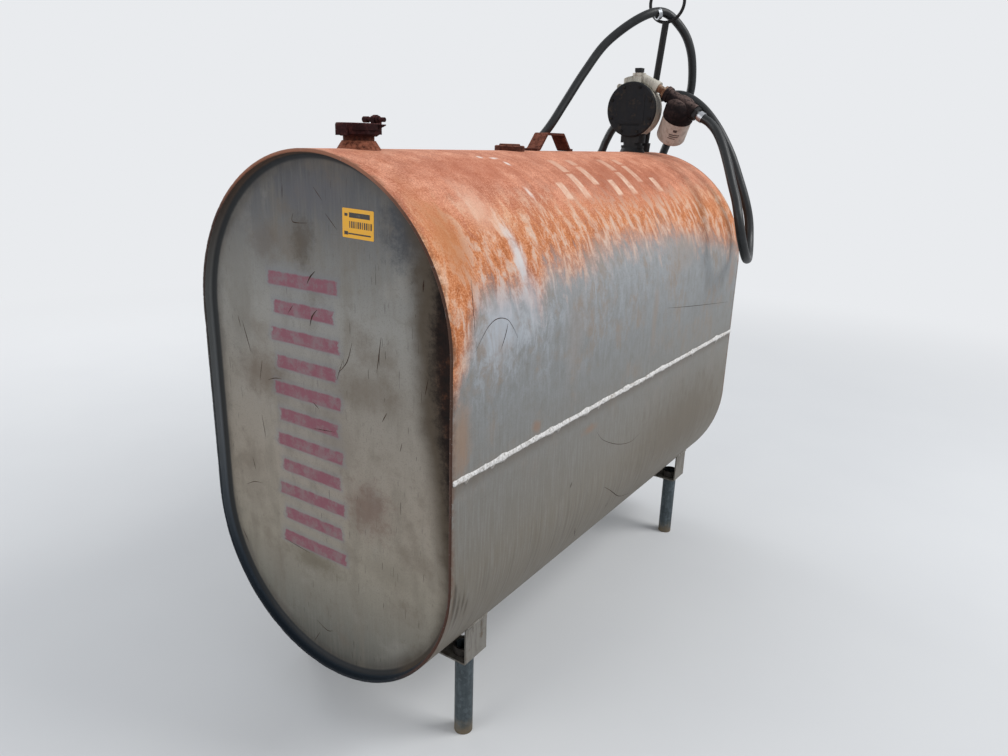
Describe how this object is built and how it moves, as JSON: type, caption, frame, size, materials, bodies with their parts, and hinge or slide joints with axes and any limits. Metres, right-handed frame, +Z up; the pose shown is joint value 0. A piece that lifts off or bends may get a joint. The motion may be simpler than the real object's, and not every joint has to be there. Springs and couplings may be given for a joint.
{
  "type": "horizontal oval fuel tank on legs with a transfer pump",
  "caption": "Above-ground oval steel fuel tank on pipe legs, with a hinged fill cap, lifting lug, transfer pump, spin-on filter, and a hose hung over a mast.",
  "frame": {"origin": "on the ground under the middle of the tank", "axes": "+Y along the tank from the fill-cap end to the pump end, +X across it, +Z up"},
  "size_m": [0.8489, 1.6652, 1.79],
  "materials": {
    "shell_top_rust": "worn paint, rusted",
    "shell_paint": "weathered silver paint",
    "weld_bead": "painted weld bead",
    "head_paint": "weathered silver paint",
    "rim_weld": "weathered weld bead",
    "bracket_steel": "weathered paint on bent plate",
    "socket_steel": "dull steel",
    "leg_galvanised": "dull galvanised pipe",
    "fill_rust": "rusted iron",
    "fill_cap": "dark rusted casting",
    "bung_rust": "rusted iron",
    "lug_rust": "rusted strap",
    "pump_dark": "dark painted casting",
    "pump_cream": "cream paint on a casting",
    "pump_cover": "dark grimy cover",
    "screws": "dark steel",
    "pipe_rust": "rusted pipe fittings",
    "filter_head": "rust-brown casting",
    "filter_can": "faded white paint",
    "bushing": "black iron",
    "ferrule": "bright plated steel",
    "hanger_steel": "dark steel",
    "hose_rubber": "black rubber",
    "nozzle_alloy": "cast aluminium",
    "nozzle_dark": "dark coated steel"
  },
  "bodies": {
    "tank": {"shell_upper": "shell_top_rust", "shell_lower": "shell_paint", "seam_weld_right": "weld_bead", "seam_weld_left": "weld_bead", "head_front": "head_paint", "head_rear": "head_paint", "rim_weld_front": "rim_weld", "rim_weld_rear": "rim_weld", "leg_bracket_front_left": "bracket_steel", "leg_bracket_front_right": "bracket_steel", "leg_bracket_rear_left": "bracket_steel", "leg_bracket_rear_right": "bracket_steel", "leg_socket_front_left": "socket_steel", "leg_socket_front_right": "socket_steel", "leg_socket_rear_left": "socket_steel", "leg_socket_rear_right": "socket_steel", "leg_pipe_front_left": "leg_galvanised", "leg_pipe_front_right": "leg_galvanised", "leg_pipe_rear_left": "leg_galvanised", "leg_pipe_rear_right": "leg_galvanised", "fill_spud": "fill_rust", "fill_neck": "fill_rust", "fill_cap_body": "fill_cap", "fill_hinge_rod": "fill_cap", "bung_ring": "bung_rust", "bung_plug": "bung_rust", "lifting_lug": "lug_rust", "pump_spud": "pump_dark", "pump_neck": "pump_dark", "pump_body": "pump_cream", "pump_cover": "pump_cover", "pump_cover_screws": "screws", "pump_plug": "pump_dark", "pump_motor": "pump_dark", "outlet_nipple": "pipe_rust", "outlet_union": "pipe_rust", "filter_head": "filter_head", "filter_can": "filter_can", "hose_bushing": "bushing", "hose_ferrule": "ferrule", "hanger_socket": "hanger_steel", "hanger_mast": "hanger_steel", "hanger_ring": "hanger_steel", "hanger_clamp": "ferrule", "fuel_hose": "hose_rubber", "nozzle_body": "nozzle_alloy", "nozzle_spout": "nozzle_alloy", "nozzle_lever": "nozzle_dark", "nozzle_guard": "nozzle_dark"},
    "fill_lid": {"fill_cap_lid": "fill_cap"}
  },
  "joints": [
    {"name": "fill_lid_hinge", "type": "hinge", "parent": "tank", "child": "fill_lid", "pos_m": [0, -0.574, 1.3293], "axis": [-1, 0, 0], "range_deg": [0, 110]}
  ]
}
